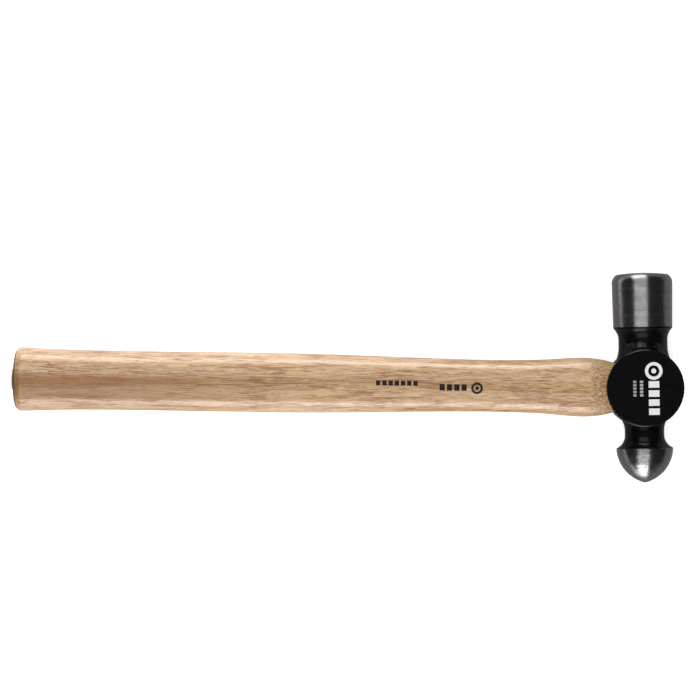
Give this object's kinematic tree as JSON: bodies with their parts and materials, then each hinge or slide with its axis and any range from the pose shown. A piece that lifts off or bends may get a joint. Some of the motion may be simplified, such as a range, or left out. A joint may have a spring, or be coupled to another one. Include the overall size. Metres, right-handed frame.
{
  "type": "ball peen hammer",
  "caption": "Ball peen hammer with a turned steel head, a round cheek body and a waisted hickory handle wedged into an oval eye.",
  "frame": {"origin": "under the middle of the hammer's bounding box, on the surface that it lies on", "axes": "+X from the grip to the head, +Y from the ball peen to the striking face, +Z out of the upper cheek"},
  "size_m": [0.2712, 0.0848, 0.0246],
  "materials": {
    "head_steel": "satin",
    "handle_hickory": "satin",
    "wedge_wood": "matte",
    "wedge_steel": "satin"
  },
  "bodies": {
    "root": {"head": "head_steel", "handle": "handle_hickory", "wooden_wedge": "wedge_wood", "steel_wedge_poll_side": "wedge_steel", "steel_wedge_peen_side": "wedge_steel"}
  },
  "joints": []
}
